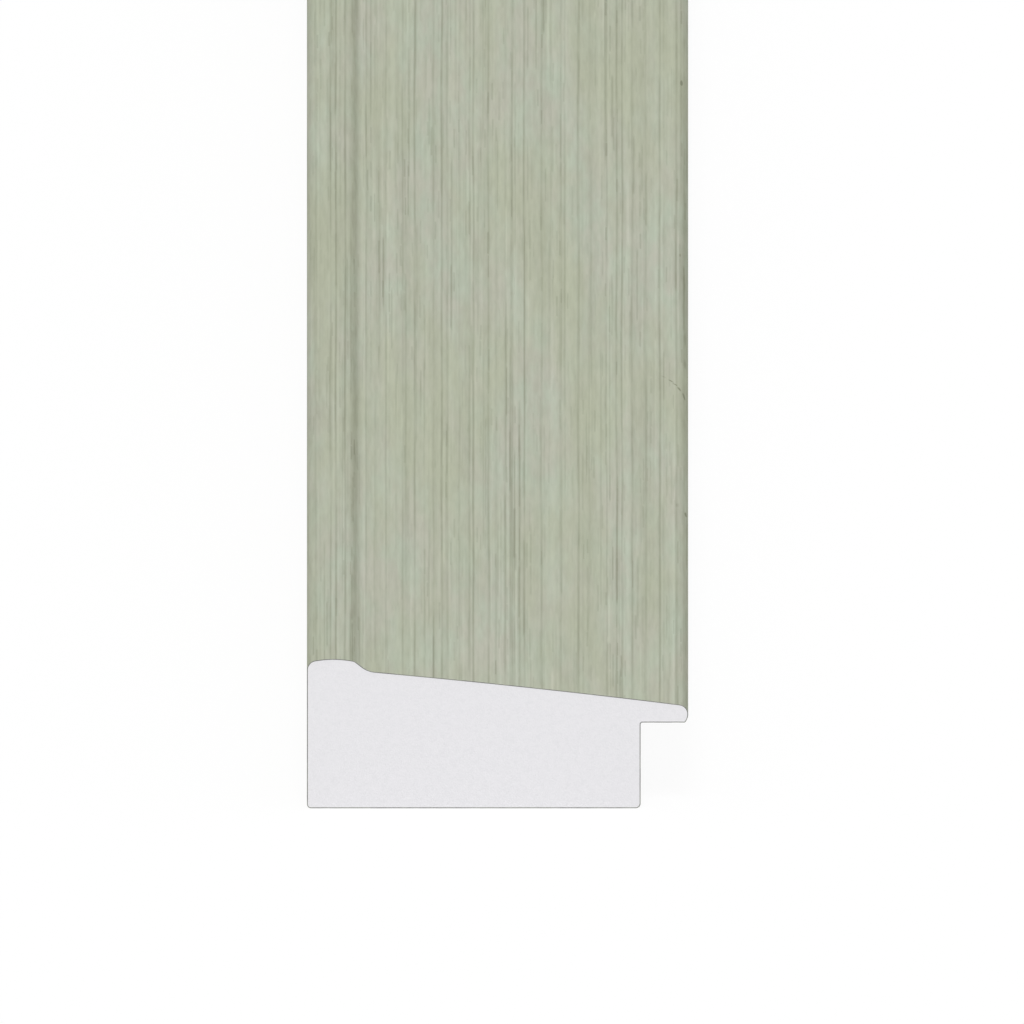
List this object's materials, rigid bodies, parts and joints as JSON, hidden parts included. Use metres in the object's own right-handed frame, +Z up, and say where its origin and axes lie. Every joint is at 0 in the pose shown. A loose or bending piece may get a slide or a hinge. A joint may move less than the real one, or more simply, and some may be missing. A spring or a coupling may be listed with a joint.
{
  "type": "polystyrene picture frame moulding",
  "caption": "Straight stick of foamed polystyrene frame moulding with a raised outer bead, a cove, a sloping brushed sage-green face, a rounded sight edge and a rebate behind it.",
  "frame": {"origin": "middle of the stick's bounding box at the level of the flat back, which is the face it lies on", "axes": "+X across the section from the tall outer side to the thin sight edge, +Y along the stick, +Z up from the flat back to the front of the moulding"},
  "size_m": [0.042, 2.9, 0.017],
  "materials": {
    "sage_finish": "satin"
  },
  "bodies": {
    "root": {"moulding": "sage_finish"}
  },
  "joints": []
}
